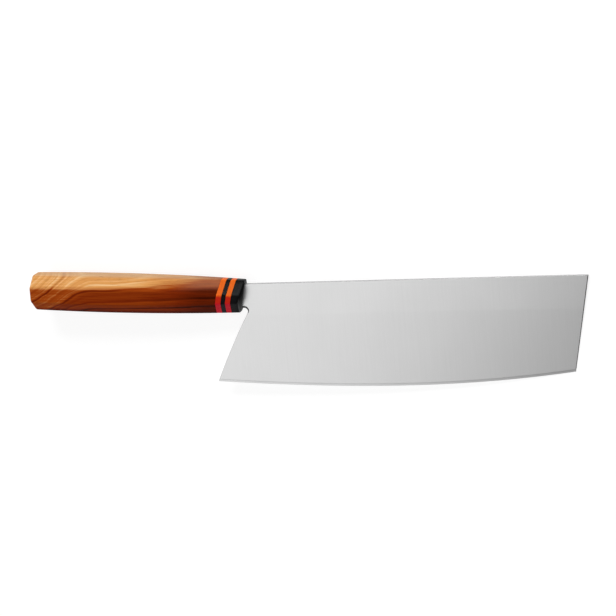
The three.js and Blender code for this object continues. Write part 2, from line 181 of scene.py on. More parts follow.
class HandleSettings(bpy.types.PropertyGroup):
    """Sizes and colours of the collar, rings and wooden body"""

    droop: angle("Droop", 2.75, "Angle between the handle and the spine")
    ring_slant: angle("Ring Slant", 11, "The collar and rings lean towards the tip at the top")
    glue_line: length("Glue Line", 0.1, "Gap between glued faces")
    collar_length: length("Collar Length", 5.4, "Length of the black collar")
    front_ring_length: length("Front Ring Length", 3.2, "Length of the front red ring")
    middle_ring_length: length("Middle Ring Length", 2.65, "Length of the black ring")
    rear_ring_length: length("Rear Ring Length", 3.45, "Length of the rear red ring")
    body_length: length("Body Length", 123.8, "Length of the wooden body")
    axis_depth: length("Axis Depth", 7.75, "From the spine down to the handle's axis at the collar")
    collar_height: length("Collar Height", 20.7, "Height at the collar's face")
    collar_width: length("Collar Width", 18.5, "Width at the collar's face")
    collar_side_flat: length("Collar Side Flat", 4.3, "Height of the side facet at the collar")
    collar_top_flat: length("Collar Top Flat", 4.6, "Width of the top facet at the collar")
    swell_height: length("Swell Height", 24.1, "Height half-way along")
    swell_width: length("Swell Width", 22, "Width half-way along")
    swell_side_flat: length("Swell Side Flat", 9.2, "Height of the side facet half-way along")
    swell_top_flat: length("Swell Top Flat", 7.6, "Width of the top facet half-way along")
    butt_height: length("Butt Height", 23, "Height at the butt")
    butt_width: length("Butt Width", 21.3, "Width at the butt")
    butt_side_flat: length("Butt Side Flat", 9, "Height of the side facet at the butt")
    butt_top_flat: length("Butt Top Flat", 7.5, "Width of the top facet at the butt")
    arris_easing: length("Arris Easing", 0.9, "How far the rounding of an arris reaches along each facet")
    collar_chamfer: length("Collar Chamfer", 0.6, "Chamfer round the collar's face")
    butt_rounding: length("Butt Rounding", 1.8, "Rounding of the butt")
    seam_easing: length("Seam Easing", 0.06, "Chamfer at each seam between rings")
    dowel_hole: length("Dowel Hole", 6.3, "Radius of the hole for the dowel")
    dowel_front: length("Dowel Front", 4.045, "From the collar's face to the bottom of its dowel hole")
    dowel_end: length("Dowel End", 58, "From the collar's face to the end of the dowel's hole")
    tang_hole: length("Tang Hole", 5.4, "Radius of the hole behind the dowel")
    tang_hole_end: length("Tang Hole End", 97.15, "From the collar's face to the end of that hole")
    drill_point: length("Drill Point", 3.24, "Depth of the cone that the drill leaves")
    fit: length("Fit", 0.15, "Clearance round the neck in the collar")
    arc_points: count("Arc Points", 5, 2, "Points round each arris")
    flat_points: count("Flat Points", 3, 0, "Points across each facet")
    body_steps: count("Body Steps", 48, 4, "Steps along the body")
    butt_steps: count("Butt Steps", 6, 1, "Steps round the butt's rim")
    # Laid partly by the facets: the pale colours are painted light on top, the deep ones painted shade
    wood_light: colour("Light Wood", "#f0c893", "Lightest streaks in the sapwood")
    # Painted sheen: paints the top facet's sheen, and the paled sapwood near the rings
    wood_dry: colour("Dry Wood", "#c8ab8c", "Bleached top facet")
    wood_pale: colour("Pale Wood", "#e0a05c", "Sapwood along the top of the body")
    wood_warm: colour("Warm Wood", "#a0440f", "Wood between sapwood and heartwood")
    wood_deep: colour("Deep Wood", "#792607", "Heartwood")
    wood_dark: colour("Dark Wood", "#3a0c02", "Dark growth lines in the heartwood")
    # Laid by height: painted light on the orange top, painted shade on the red and crimson below
    resin_orange: colour("Orange Resin", "#e5661a", "Top of the red rings")
    resin_red: colour("Red Resin", "#c12512", "Sides of the red rings")
    resin_crimson: colour("Crimson Resin", "#d2122a", "Underside of the red rings")
    black: colour("Black", "#050608", "Black collar and ring")
    black_grain: colour("Black Grain", "#0e0c0d", "Fine grain in the black pieces")
    # Painted reflection of the white paper on the lower part of the collar's front
    black_rubbed: colour("Rubbed Black", "#6c6c6c", "Collar's front where a finger rubs it")


class StageSettings(bpy.types.PropertyGroup):
    """Camera, lights and floor"""

    camera_turn: angle("Camera Turn", 16.62, "Camera's turn from the blade's face towards the tip")
    camera_rise: angle("Camera Rise", 15.19, "Camera's turn from the blade's face towards the spine")
    camera_roll: angle("Camera Roll", -5.72, "Camera's turn about its own axis")
    camera_distance: length("Camera Distance", 1000, "Camera to the point it looks at")
    camera_aim: FloatVectorProperty(
        name="Camera Aim",
        description="Point that the camera looks at, in the knife's frame",
        default=(40.52 * MM, -16.5 * MM, 0),
        subtype="TRANSLATION",
        unit="LENGTH",
    )
    camera_pixels: FloatProperty(
        name="Focal Length", description="Focal length in the photo's pixels", default=1636.47
    )
    key_power: power("Key", 10.5, "Soft light from the spine side")
    spine_panel_power: power("Spine Panel", 4.0, "Overhead light that the upper faces mirror")
    heel_panel_power: power("Heel Panel", 3.3, "Overhead light that the faces mirror near the heel")
    tip_panel_power: power("Tip Panel", 0.35, "Weak light that the lower faces mirror near the tip")
    fill_power: power("Fill", 3.2, "Weak light from the edge side")
    surroundings: FloatProperty(
        name="Surroundings", description="Brightness of the surroundings", default=0.12, min=0
    )
    paper: colour("Paper", "#f4f4f4", "White paper that the knife lies on")
    paper_glow: FloatProperty(
        name="Paper Glow", description="How far the paper is lifted to white round the knife", default=0.82
    )


def feed(tree, node, inputs):
    """Sets a node's inputs. Each is named or numbered, and takes a value, an output, or a node's output"""
    for key, value in inputs.items():
        if isinstance(key, int):
            socket = node.inputs[key]
        else:
            socket = next(s for s in node.inputs if s.name == key and s.enabled)
        if isinstance(value, bpy.types.Node):
            value = next(s for s in value.outputs if s.enabled)
        if isinstance(value, bpy.types.NodeSocket):
            tree.links.new(value, socket)
        else:
            socket.default_value = value


def add(tree, kind, inputs=None, stops=(), **settings):
    """Adds a node with its settings and inputs. stops are a colour ramp's (place, linear colour) pairs"""
    made = tree.nodes.new(kind)
    for name, value in settings.items():
        setattr(made, name, value)
    feed(tree, made, inputs or {})
    for i, (place, tint) in enumerate(stops):
        ramp = made.color_ramp.elements
        stop = ramp[i] if i < 2 else ramp.new(place)
        stop.position = place
        stop.color = (*tint, 1)
    return made


def work_out(tree, known, rows):
    """Adds a chain of nodes, and keeps each in known under its name. A row is (name, operation, *inputs),
    and an input is a number, the name of a value known by then, or None to leave it as it is"""
    for name, operation, *inputs in rows:
        kind, setting = CHAIN_KINDS.get(operation, (MATH, "operation"))
        values = {i: known.get(value, value) for i, value in enumerate(inputs) if value is not None}
        known[name] = add(tree, kind, values, **{setting: operation})


def knife_place():
    """The knife's own frame: X along the spine to the tip, Y out of the spine, Z out of the front face"""
    handle = bpy.context.scene.knife_handle
    out = Vector(MOUNTS["front_flat"]["axis"]) - Vector(MOUNTS["back_flat"]["axis"])
    out.normalize()
    ahead = -Vector(MOUNTS["butt_face"]["axis"])
    ahead = (ahead - ahead.project(out)).normalized()
    along = Matrix.Rotation(handle.droop, 3, out) @ ahead
    up = out.cross(along)
    collar = Vector(MOUNTS["butt_face"]["pos_m"]) + ahead * handle_length()
    place = Matrix((along, up, out)).transposed().to_4x4()
    place.translation = collar + up * handle.axis_depth
    return place


def handle_place():
    """The handle's frame: its origin is in the middle of the collar's face, and X points to the blade"""
    handle = bpy.context.scene.knife_handle
    collar = Matrix.Translation((0, -handle.axis_depth, 0))
    return knife_place() @ collar @ Matrix.Rotation(-handle.droop, 4, "Z")


def handle_length():
    """From the collar's face to the butt: five pieces, with a glue line between each two"""
    handle = bpy.context.scene.knife_handle
    rings = handle.front_ring_length + handle.middle_ring_length + handle.rear_ring_length
    return handle.collar_length + rings + 4 * handle.glue_line + handle.body_length


def new_piece(name, mesh, replaces, smooth=FACET_ANGLE):
    """Closes a mesh, turns its faces out, and makes it a piece of the knife. Edges bent less than smooth
    degrees are shaded smooth"""
    mesh.name = name
    work = bmesh.new()
    work.from_mesh(mesh)
    bmesh.ops.remove_doubles(work, verts=work.verts, dist=WELD)
    bmesh.ops.dissolve_degenerate(work, edges=work.edges, dist=WELD)
    bmesh.ops.recalc_face_normals(work, faces=work.faces)
    if any(not edge.is_manifold for edge in work.edges):
        raise RuntimeError(f"{name} is not closed")
    for face in work.faces:
        face.smooth = True
    for edge in work.edges:
        rim = all(face.material_index >= GROUND for face in edge.link_faces)
        edge.smooth = edge.calc_face_angle() < math.radians(FACET_ANGLE if rim else smooth)
    work.to_mesh(mesh)
    work.free()
    piece = bpy.data.objects.new(name, mesh)
    bpy.context.scene.collection.objects.link(piece)
    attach(piece, BODY)
    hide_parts(replaces)
    return piece


def local_millimetres(tree, place):
    """Object coordinates turned into the frame of place, in millimetres"""
    spot, turn, _ = place.decompose()
    return add(
        tree,
        "ShaderNodeMapping",
        {
            "Vector": add(tree, "ShaderNodeTexCoord").outputs["Object"],
            "Location": spot,
            "Rotation": turn.to_euler(),
            "Scale": (MM, MM, MM),
        },
        vector_type="TEXTURE",
    )


def new_material(name, **shader):
    """A material with one Principled shader whose sockets have these values"""
    material = bpy.data.materials.new(name)
    material.use_nodes = True
    tree = material.node_tree
    principled = tree.nodes["Principled BSDF"]
    feed(tree, principled, {socket.replace("_", " "): value for socket, value in shader.items()})
    return material, tree, principled


def worn_edges(tree):
    """How worn the surface is: 1 along the arrises, the seams and the blade's edge, 0 on the faces"""
    return add(tree, "ShaderNodeAttribute", attribute_name="wear").outputs["Fac"]


def dress(tree, shader, base, rough, relief, strength, depth):
    """Links a colour, a roughness and a relief of this depth in millimetres to a shader"""
    bump = add(tree, "ShaderNodeBump", {"Height": relief, "Strength": strength, "Distance": depth * MM})
    feed(tree, shader, {"Base Color": base, "Roughness": rough, "Normal": bump})


def stainless(name, tint, scratches, rough, wear):
    """Stainless steel: a soft mirror with grinding lines. scratches counts the lines per millimetre along,
    up and across the blade, rough is the range of its roughness, and wear has two amounts of wear and how
    bright the steel is at each"""
    material, tree, shader = new_material(name, Metallic=1.0)
    place = local_millimetres(tree, knife_place())
    spot = add(tree, VECTOR, {0: place, 1: scratches}, operation="MULTIPLY")
    lines = add(tree, NOISE, {"Vector": spot, "Scale": 1.0, "Detail": 4.0, "Roughness": 0.65})
    # Clouds in the gloss, about 30 mm across
    clouds = add(tree, NOISE, {"Vector": place, "Scale": 0.03, "Detail": 2.0})
    both = add(tree, MATH, {0: lines, 1: clouds}, operation="ADD")
    gloss = add(tree, RANGE, dict(enumerate((both, 0.6, 1.4, *rough))))
    # The lines are up to 6 % darker and 5 % brighter than the steel between them
    dull = (*(c * 0.94 for c in tint), 1)
    bright = (*(min(c * 1.05, 1) for c in tint), 1)
    shade = add(tree, MIX, {"Factor": lines, "A": dull, "B": bright}, data_type="RGBA")
    worn = add(tree, RANGE, dict(enumerate((worn_edges(tree), *wear))))
    base = add(tree, VECTOR, {0: shade, "Scale": worn}, operation="SCALE")
    dress(tree, shader, base, gloss, lines, 0.04, 0.02)
    return material


def oiled_heartwood(handle):
    """Oiled figured wood: pale sapwood along the top, red-brown heartwood below it, dark growth lines that
    climb away from the butt, fine fibres, short dark pores and a low sheen. Painted light and shade too:
    the pale top and dark sides follow the upper arrises, the top facet has a painted sheen, and the
    underside a painted shade"""
    material, tree, shader = new_material(
        "oiled_heartwood", Specular_IOR_Level=0.015, Specular_Tint=(1, 0.62, 0.36, 1)
    )
    place = local_millimetres(tree, handle_place())
    x, y, z = add(tree, SPLIT, {0: place}).outputs
    known = {"x": x, "y": y, "z": z, "worn": worn_edges(tree)}
    # Fibres are 0.5 mm wide, and pores 6 mm long and 0.25 mm wide
    for name, scale, detail in (
        ("wander", (0.02, 0.09, 0.09), 2.0),
        ("fibres", (0.03, 2.0, 2.0), 4.0),
        ("pits", (0.16, 4.0, 4.0), 1.0),
    ):
        spot = add(tree, VECTOR, {0: place, 1: scale}, operation="MULTIPLY")
        known[name] = add(tree, NOISE, {"Vector": spot, "Scale": 1.0, "Detail": detail})
    smooth = "SMOOTHSTEP"
    rows = (
        ("butt", "ADD", "x", handle_length() / MM),
        ("pores", smooth, "pits", 0.64, 0.74, 0.0, 0.4),
        # The heartwood climbs near the rings, and the wood darkens there. Towards the underside it darkens
        # as painted shade
        ("rise", smooth, "butt", 88.0, 122.0, 0.0, 3.0),
        ("forward", smooth, "butt", 70.0, 104.0, 0.0, 0.18),
        ("near", smooth, "butt", 92.0, 118.0, 0.0, 0.21),
        # Painted shade: darker towards the underside
        ("bottom", smooth, "y", -8.4, -11.4, 0.0, 0.3),
        # Sapwood ends near the upper arris, a little lower at the butt. The pale top and dark sides are
        # partly the wood's colour, and partly painted light on top and painted shade on the sides
        ("lift", smooth, "butt", 0.0, 60.0, 1.2, 0.0),
        ("lifted", "ADD", "y", "lift"),
        ("limit", "MULTIPLY_ADD", "rise", -0.3, "lifted"),
        ("side", smooth, "limit", 7.4, 3.8, 0.0, 1.0),
        # Its top facet is painted paler and greyer, a painted sheen, and near the rings all of the sapwood
        # is paled to that colour too
        ("top", smooth, "y", 10.4, 12.4, 0.0, 0.7),
        ("parched", smooth, "butt", 92.0, 114.0, 0.0, 0.18),
        ("sapwood", "SUBTRACT", 1.0, "side"),
        ("dry", "MULTIPLY_ADD", "parched", "sapwood", "top"),
        # The growth layers climb steeply for 40 mm from the butt, and gently further on
        ("fall", smooth, "butt", -14.0, 42.0, 24.6, 0.6),
        ("lean", "MULTIPLY_ADD", "z", 0.25, "y"),
        ("level", "ADD", "lean", "fall"),
        ("climbing", "MULTIPLY_ADD", "butt", -0.05, "level"),
        ("layer", "MULTIPLY_ADD", "wander", 5.0, "climbing"),
        ("growth", "1D", None, "layer", 0.36, 3.0, 0.6),
        ("centred", "SUBTRACT", "growth", 0.5),
        # A soft dark line every 6.75 mm, where a year's growth ends; every other one is faint
        ("years", "MULTIPLY_ADD", "layer", 1 / 6.75, -1.08),
        ("apart", "PINGPONG", "years", 0.5),
        ("year", smooth, "apart", 0.17, 0.0, 0.0, 0.34),
        ("odd", "PINGPONG", "years", 1.0),
        ("faint", "MULTIPLY_ADD", "odd", -0.75, 1.0),
        ("line", "MULTIPLY", "year", "faint"),
        # The heartwood's limit follows the layers
        ("inside", "SUBTRACT", "rise", "layer"),
        ("streaked", "MULTIPLY_ADD", "fibres", 3.0, "inside"),
        ("heart", smooth, "streaked", -7.0, -3.4, 0.0, 0.16),
        # Every mark is stronger in the heartwood of the sides, with their painted shade, than in the pale
        # sapwood on top
        ("marks", "ADD", "line", "near"),
        ("strength", "MULTIPLY_ADD", "side", 0.7, 0.3),
        ("zone", "MULTIPLY_ADD", "side", 0.37, "heart"),
        ("marked", "MULTIPLY_ADD", "marks", "strength", "zone"),
        ("half", "MULTIPLY_ADD", "side", -0.5, 1.0),
        ("ahead", "MULTIPLY_ADD", "forward", "half", "marked"),
        ("lower", "ADD", "ahead", "bottom"),
        ("swing", "MULTIPLY_ADD", "side", -0.2, 0.6),
        ("figure", "MULTIPLY_ADD", "centred", "swing", "lower"),
        ("grain", "MULTIPLY_ADD", "fibres", 0.3, "figure"),
        ("rubbed", "MULTIPLY_ADD", "worn", -0.04, "grain"),
        ("shade", "MULTIPLY", "rubbed", 0.9),
        ("matt", "LINEAR", "fibres", 0.0, 1.0, 0.42, 0.6),
        ("rough", "MULTIPLY_ADD", "worn", -0.06, "matt"),
        ("relief", "MULTIPLY_ADD", "pores", -2.5, "fibres"),
    )
    work_out(tree, known, rows)
    ramp = add(
        tree,
        RAMP,
        {"Fac": known["shade"]},
        stops=(
            (0.0, handle.wood_light),
            (1.0, handle.wood_dark),
            (0.136, handle.wood_pale),
            (0.46, handle.wood_warm),
            (0.694, handle.wood_deep),
        ),
    )
    # Mixes in the top facet's painted sheen, and the paled sapwood near the rings
    dry = {"Factor": known["dry"], "A": ramp, "B": (*handle.wood_dry, 1)}
    bleached_and_sheen = add(tree, MIX, dry, data_type="RGBA")
    pored = {"Factor": known["pores"], "A": bleached_and_sheen, "B": (*handle.wood_dark, 1)}
    base = add(tree, MIX, pored, data_type="RGBA")
    dress(tree, shader, base, known["rough"], known["relief"], 0.15, 0.08)
    return material


def swirled_resin(handle):
    """Cast resin, polished: cloudy swirls, orange on top, red at the sides and crimson underneath.
    These colours are laid by height: painted light on the top and painted shade below
    """
    material, tree, shader = new_material(
        "swirled_resin", Specular_IOR_Level=0.05, Specular_Tint=(1, 0.45, 0.4, 1)
    )
    place = local_millimetres(tree, handle_place())
    y = add(tree, SPLIT, {0: place}).outputs["Y"]
    # Swirls 4 mm across
    swirls = add(tree, NOISE, {"Vector": place, "Scale": 0.25, "Detail": 3.0, "Distortion": 1.5})
    # Painted light and shade: the swirls are shifted by height, orange on top, red and crimson below
    moved = add(tree, MATH, {0: swirls, 1: 2.0, 2: y}, operation="MULTIPLY_ADD")
    share = add(tree, RANGE, {"Value": moved, "From Min": -7.0, "From Max": 9.0})
    ramp = add(
        tree,
        RAMP,
        {"Fac": share},
        stops=(
            (0.28, handle.resin_crimson),
            (0.68, handle.resin_orange),
            (0.4, handle.resin_red),
            (0.58, handle.resin_red),
        ),
    )
    worn = worn_edges(tree)
    # Brighter along the arrises: partly wear, partly a painted highlight
    bright = add(tree, MATH, {0: worn, 1: 0.12, 2: 1.0}, operation="MULTIPLY_ADD")
    base = add(tree, VECTOR, {0: ramp, "Scale": bright}, operation="SCALE")
    gloss = add(tree, RANGE, {"Value": swirls, "To Min": 0.24, "To Max": 0.4})
    rough = add(tree, MATH, {0: worn, 1: 0.08, 2: gloss}, operation="MULTIPLY_ADD")
    dress(tree, shader, base, rough, swirls, 0.1, 0.05)
    return material


def black_laminate(handle):
    """Resin-soaked black wood laminate, polished: nearly black, with grain that shows only in its gloss"""
    material, tree, shader = new_material("black_laminate", Specular_IOR_Level=0.045)
    place = local_millimetres(tree, handle_place())
    # Grain 0.4 mm wide
    spot = add(tree, VECTOR, {0: place, 1: (0.2, 2.5, 2.5)}, operation="MULTIPLY")
    grain = add(tree, NOISE, {"Vector": spot, "Scale": 1.0, "Detail": 3.0})
    worn = worn_edges(tree)
    shown = add(tree, MATH, {0: worn, 1: 0.4, 2: grain}, operation="MULTIPLY_ADD")
    black, pale = (*handle.black, 1), (*handle.black_grain, 1)
    grained = add(tree, MIX, {"Factor": shown, "A": black, "B": pale}, data_type="RGBA")
    # Painted reflection: the lower part of the collar's front and of its chamfer is painted grey and
    # rougher
    x, y, _ = add(tree, SPLIT, {0: place}).outputs
    ahead = add(tree, MATH, {0: y, 1: -math.tan(handle.ring_slant), 2: x}, operation="MULTIPLY_ADD")
    front = add(tree, RANGE, {"Value": ahead, "From Min": -0.7, "From Max": -0.5})
    low = add(tree, RANGE, {"Value": y, "From Min": 1.0, "From Max": -8.0})
    rubbed = add(tree, MATH, {0: front, 1: low}, operation="MULTIPLY")
    grey = (*handle.black_rubbed, 1)
    base = add(tree, MIX, {"Factor": rubbed, "A": grained, "B": grey}, data_type="RGBA")
    gloss = add(tree, RANGE, {"Value": grain, "To Min": 0.2, "To Max": 0.36})
    matt = add(tree, MATH, {0: rubbed, 1: 0.25, 2: gloss}, operation="MULTIPLY_ADD")
    rough = add(tree, MATH, {0: worn, 1: 0.06, 2: matt}, operation="MULTIPLY_ADD")
    dress(tree, shader, base, rough, grain, 0.08, 0.04)
    return material


def plain_core(name, scale, codes, rough):
    """A plain material inside the handle: spots of this many per millimetre between two colours"""
    material, tree, shader = new_material(name)
    place = local_millimetres(tree, handle_place())
    spot = add(tree, VECTOR, {0: place, 1: scale}, operation="MULTIPLY")
    spots = add(tree, NOISE, {"Vector": spot, "Scale": 1.0, "Detail": 2.0})
    ramp = add(tree, RAMP, {"Fac": spots}, stops=((0.33, linear(codes[0])), (0.67, linear(codes[1]))))
    matt = add(tree, RANGE, {"Value": spots, "To Min": rough[0], "To Max": rough[1]})
    dress(tree, shader, ramp, matt, spots, 0.1, 0.05)
    return material


class BladeForm:
    """The blade's outline and ground faces in its own frame"""

    def __init__(self, blade, handle):
        self.blade = blade
        self.tip_run = math.tan(blade.tip_slant)
        self.heel_run = math.tan(blade.heel_slant)
        self.slant = math.tan(handle.ring_slant)
        self.turn = Matrix.Rotation(-handle.droop, 2)
        self.axis_depth = handle.axis_depth
        below = blade.neck_height - handle.axis_depth
        face = self.from_handle(-below * self.slant, -below)
        self.heel_top = Vector((face.x + blade.neck_length, -blade.neck_height))
        drop = blade.heel_height - blade.neck_height
        self.heel = self.heel_top - Vector((drop * self.heel_run, drop))
        self.tip_low = Vector((blade.spine_length - blade.tip_height * self.tip_run, -blade.tip_height))

    def from_handle(self, x, y):
        """A point given from the middle of the collar's face, along and across the handle"""
        return self.turn @ Vector((x, y)) - Vector((0, self.axis_depth))

    def shoulder(self, y):
        """A point of the tang's shoulders, which seat the neck in the collar, y above the handle's axis"""
        return self.from_handle(-self.blade.neck_seat + y * self.slant, y)

    def line_height(self, line, t):
        """Height of the grind line or the sharpened band's upper line in the section at t"""
        return -self.blade.grind_line if line == "grind" else self.edge(t).y + self.blade.bevel_height

    def edge(self, t):
        """A point of the bellied edge, from the heel at 0 to the tip at 1"""
        third = (self.tip_low.x - self.heel.x) / 3
        low = [
            self.heel.y,
            self.heel.y - third * math.tan(self.blade.edge_heel_angle),
            self.tip_low.y - third * math.tan(self.blade.edge_tip_angle),
            self.tip_low.y,
        ]
        s = 1 - t
        y = s**3 * low[0] + 3 * s * s * t * low[1] + 3 * s * t * t * low[2] + t**3 * low[3]
        return Vector((self.heel.x + 3 * third * t, y))

    def section(self, t, y):
        """The point at height y of the section that meets the edge at t: sections lean towards the tip"""
        low = self.edge(t)
        return Vector((low.x + (y - low.y) * self.tip_run * max(t, 0), y))

    def section_at(self, point):
        """Which section a point is in"""
        reach = self.tip_low.x - self.heel.x
        t = (point.x - self.heel.x) / reach
        for _ in range(SEARCH_STEPS):
            low = self.edge(max(t, 0))
            t = (point.x - (point.y - low.y) * self.tip_run * max(t, 0) - self.heel.x) / reach
        return t

    def half_thickness(self, point):
        """Half the blade's thickness: flat, then tapered to the sharpened band, then down to the edge"""
        blade = self.blade
        share = (max(point.x, self.heel.x) - self.heel.x) / (blade.spine_length - self.heel.x)
        full = (blade.thickness_heel + (blade.thickness_tip - blade.thickness_heel) * share) / 2
        if point.y >= -blade.grind_line:
            return full
        low = self.edge(max(self.section_at(point), 0)).y
        bevel = low + blade.bevel_height
        if point.y >= bevel:
            rise = (point.y - bevel) / (-blade.grind_line - bevel)
            return blade.bevel_thickness / 2 + (full - blade.bevel_thickness / 2) * rise
        return max(blade.bevel_thickness / 2 * (point.y - low) / blade.bevel_height, 0)

    def heel_at(self, t):
        """A point of the bowed heel, from under the neck at 0 to the edge at 1"""
        chord = self.heel - self.heel_top
        bow = Vector((chord.y, -chord.x)).normalized() * 4 * self.blade.heel_bow
        return self.heel_top + chord * t + bow * t * (1 - t)

    def heel_point(self, y):
        """The point of the heel at height y"""
        low, high = 0.0, 1.0
        for _ in range(HALVING_STEPS):
            middle = (low + high) / 2
            low, high = (middle, high) if self.heel_at(middle).y > y else (low, middle)
        return self.heel_at(low)

    def heel_bevel(self):
        """Where the sharpened band's upper line meets the heel"""
        y = self.heel.y + self.blade.bevel_height
        for _ in range(SEARCH_STEPS):
            y = self.edge(max(self.section_at(self.heel_point(y)), 0)).y + self.blade.bevel_height
        return self.heel_point(y)


def rounded_corner(before, corner, after, radius, steps):
    """Points of an arc that rounds the corner"""
    back = (before - corner).normalized()
    ahead = (after - corner).normalized()
    half = math.acos(max(-1, min(1, back.dot(ahead)))) / 2
    reach = radius / math.tan(half)
    centre = corner + (back + ahead).normalized() * radius / math.sin(half)
    start = corner + back * reach - centre
    end = corner + ahead * reach - centre
    sweep = start.angle_signed(end)
    return [centre + Matrix.Rotation(-sweep * i / steps, 2) @ start for i in range(steps + 1)]


def blade_outline(form):
    """The blade's rim: each point has the rounding there, the finish of the rim up to the next point,
    and the name of a line that starts or ends there"""
    blade = form.blade
    rim = blade.rim_rounding
    high, low = form.shoulder(form.axis_depth), form.shoulder(-form.axis_depth)
    seat_top = high.lerp(low, high.y / (high.y - low.y))
    seat_low = high.lerp(low, (high.y + blade.neck_height) / (high.y - low.y))
    tang = [
        form.shoulder(blade.tang_front / 2),
        form.from_handle(-blade.tang_length, blade.tang_end / 2),
        form.from_handle(-blade.tang_length, -blade.tang_end / 2),
        form.shoulder(-blade.tang_front / 2),
    ]
    points = [
        RimPoint(Vector((blade.spine_length, 0)), blade.tip_rounding, GROUND, ""),
        RimPoint(Vector((blade.spine_length - TIP_BLEND, 0)), blade.spine_rounding, GROUND, ""),
        RimPoint(seat_top, blade.spine_rounding, CUT_PAINTED_DARK, ""),
    ]
    around = [seat_top, *tang, seat_low]
    for before, corner, after in zip(around, around[1:], around[2:]):
        arc = rounded_corner(before, corner, after, blade.tang_rounding, CORNER_STEPS)
        points += [RimPoint(spot, rim, CUT_PAINTED_DARK, "") for spot in arc]
    # A point a little way down the heel gives the direction in which the notch leaves the neck
    heel_start = form.heel_at(0.1)
    notch = rounded_corner(seat_low, form.heel_top, heel_start, blade.notch_radius, CORNER_STEPS)
    # The neck's easing starts at the collar's face, so that the neck fills the collar's slot
    face = form.heel_top - Vector((blade.neck_length, 0))
    points += [RimPoint(seat_low, rim, CUT_PAINTED_DARK, ""), RimPoint(face, rim, CUT_PAINTED_DARK, "")]
    points.append(RimPoint(face + Vector((NECK_BLEND, 0)), blade.notch_rounding, CUT_PAINTED_DARK, ""))
    for i, spot in enumerate(notch):
        rounding = blade.notch_rounding + (rim - blade.notch_rounding) * (i / CORNER_STEPS) ** 2
        finish = GROUND if i == CORNER_STEPS else CUT_PAINTED_DARK
        points.append(RimPoint(spot, rounding, finish, ""))
    grind, bevel = form.heel_point(-blade.grind_line), form.heel_bevel()
    points.append(RimPoint(grind, rim, GROUND, "grind start"))
    heel = [form.heel_at(i / blade.heel_steps) for i in range(1, blade.heel_steps)]
    top, bottom = grind.y - HEEL_CLEARANCE, bevel.y + HEEL_CLEARANCE
    points += [RimPoint(spot, rim, GROUND, "") for spot in heel if top > spot.y > bottom]
    points.append(RimPoint(bevel, rim, GROUND, "bevel start"))
    steps = blade.edge_steps
    points += [RimPoint(form.edge(i / steps), 0, HONED, "") for i in range(steps + 1)]
    for line in ("bevel", "grind"):
        spot = form.section(1, form.line_height(line, 1))
        points.append(RimPoint(spot, blade.tip_rounding, CUT_PAINTED_DARK, line + " end"))
    return points


def blade_mesh(form):
    """The blade: flat upper faces, tapered lower faces, a sharpened band and eased rims"""
    blade = form.blade
    outline = blade_outline(form)
    number = len(outline)
    inner, drops = [], []
    for i, point in enumerate(outline):
        before, after = outline[i - 1].spot, outline[(i + 1) % number].spot
        first = (point.spot - before).normalized()
        second = (after - point.spot).normalized()
        inward = Vector((-first.y - second.y, first.x + second.x)).normalized()
        spread = max(inward.dot(Vector((-first.y, first.x))), LEAST_SPREAD)
        half = form.half_thickness(point.spot)
        inner.append(point.spot + inward * min(point.rounding, REACH_LIMIT * half) / spread)
        drops.append(min(point.rounding, DROP_LIMIT * half))

    flat_points = list(inner)
    limits = [(i, (i + 1) % number) for i in range(number)]
    marks = {point.mark: i for i, point in enumerate(outline)}
    for line in ("grind", "bevel"):
        start, end = marks[line + " start"], marks[line + " end"]
        first, last = form.section_at(inner[start]), form.section_at(inner[end])
        chain = [start]
        for i in range(1, blade.edge_steps):
            t = first + (last - first) * i / blade.edge_steps
            chain.append(len(flat_points))
            flat_points.append(form.section(t, form.line_height(line, t)))
        chain.append(end)
        limits += list(zip(chain, chain[1:]))
    inside_only, same_spot = 1, 1e-9
    spots, _, faces, *_ = geometry.delaunay_2d_cdt(flat_points, limits, [], inside_only, same_spot)

    work = bmesh.new()
    wear = work.verts.layers.float.new("wear")
    for side in (1, -1):
        corners = []
        for spot in spots:
            half = form.half_thickness(spot)
            corners.append(work.verts.new((*spot, side * half)))
            corners[-1][wear] = float(half < SHARP)
        for face in faces:
            made = work.faces.new([corners[i] for i in face])
            middle = made.calc_center_median().xy
            band = middle.y < form.line_height("bevel", max(form.section_at(middle), 0))
            made.material_index = HONED if band else SATIN
    loops = []
    for point, inside, drop in zip(outline, inner, drops):
        height = form.half_thickness(inside)
        arc = []
        for i in range(RIM_STEPS + 1):
            bend = math.pi / 2 * i / RIM_STEPS
            spot = point.spot + (inside - point.spot) * (1 - math.sin(bend))
            arc.append((spot.x, spot.y, height - drop * (1 - math.cos(bend)), math.sin(2 * bend)))
        loop = []
        for x, y, z, worn in arc + [(x, y, -z, worn) for x, y, z, worn in reversed(arc)]:
            loop.append(work.verts.new((x, y, z)))
            loop[-1][wear] = worn if drop else 1.0
        loops.append(loop)
    for i, loop in enumerate(loops):
        other = loops[(i + 1) % number]
        for j in range(len(loop) - 1):
            made = work.faces.new((loop[j], loop[j + 1], other[j + 1], other[j]))
            made.material_index = outline[i].finish
    mesh = bpy.data.meshes.new("blade")
    work.to_mesh(mesh)
    work.free()
    return mesh


SIDES = 8
SWEEP_SIZES = ("Height", "Width", "Side Flat", "Top Flat")
SWEEP_PLACES = ("Collar", "Swell", "Butt")


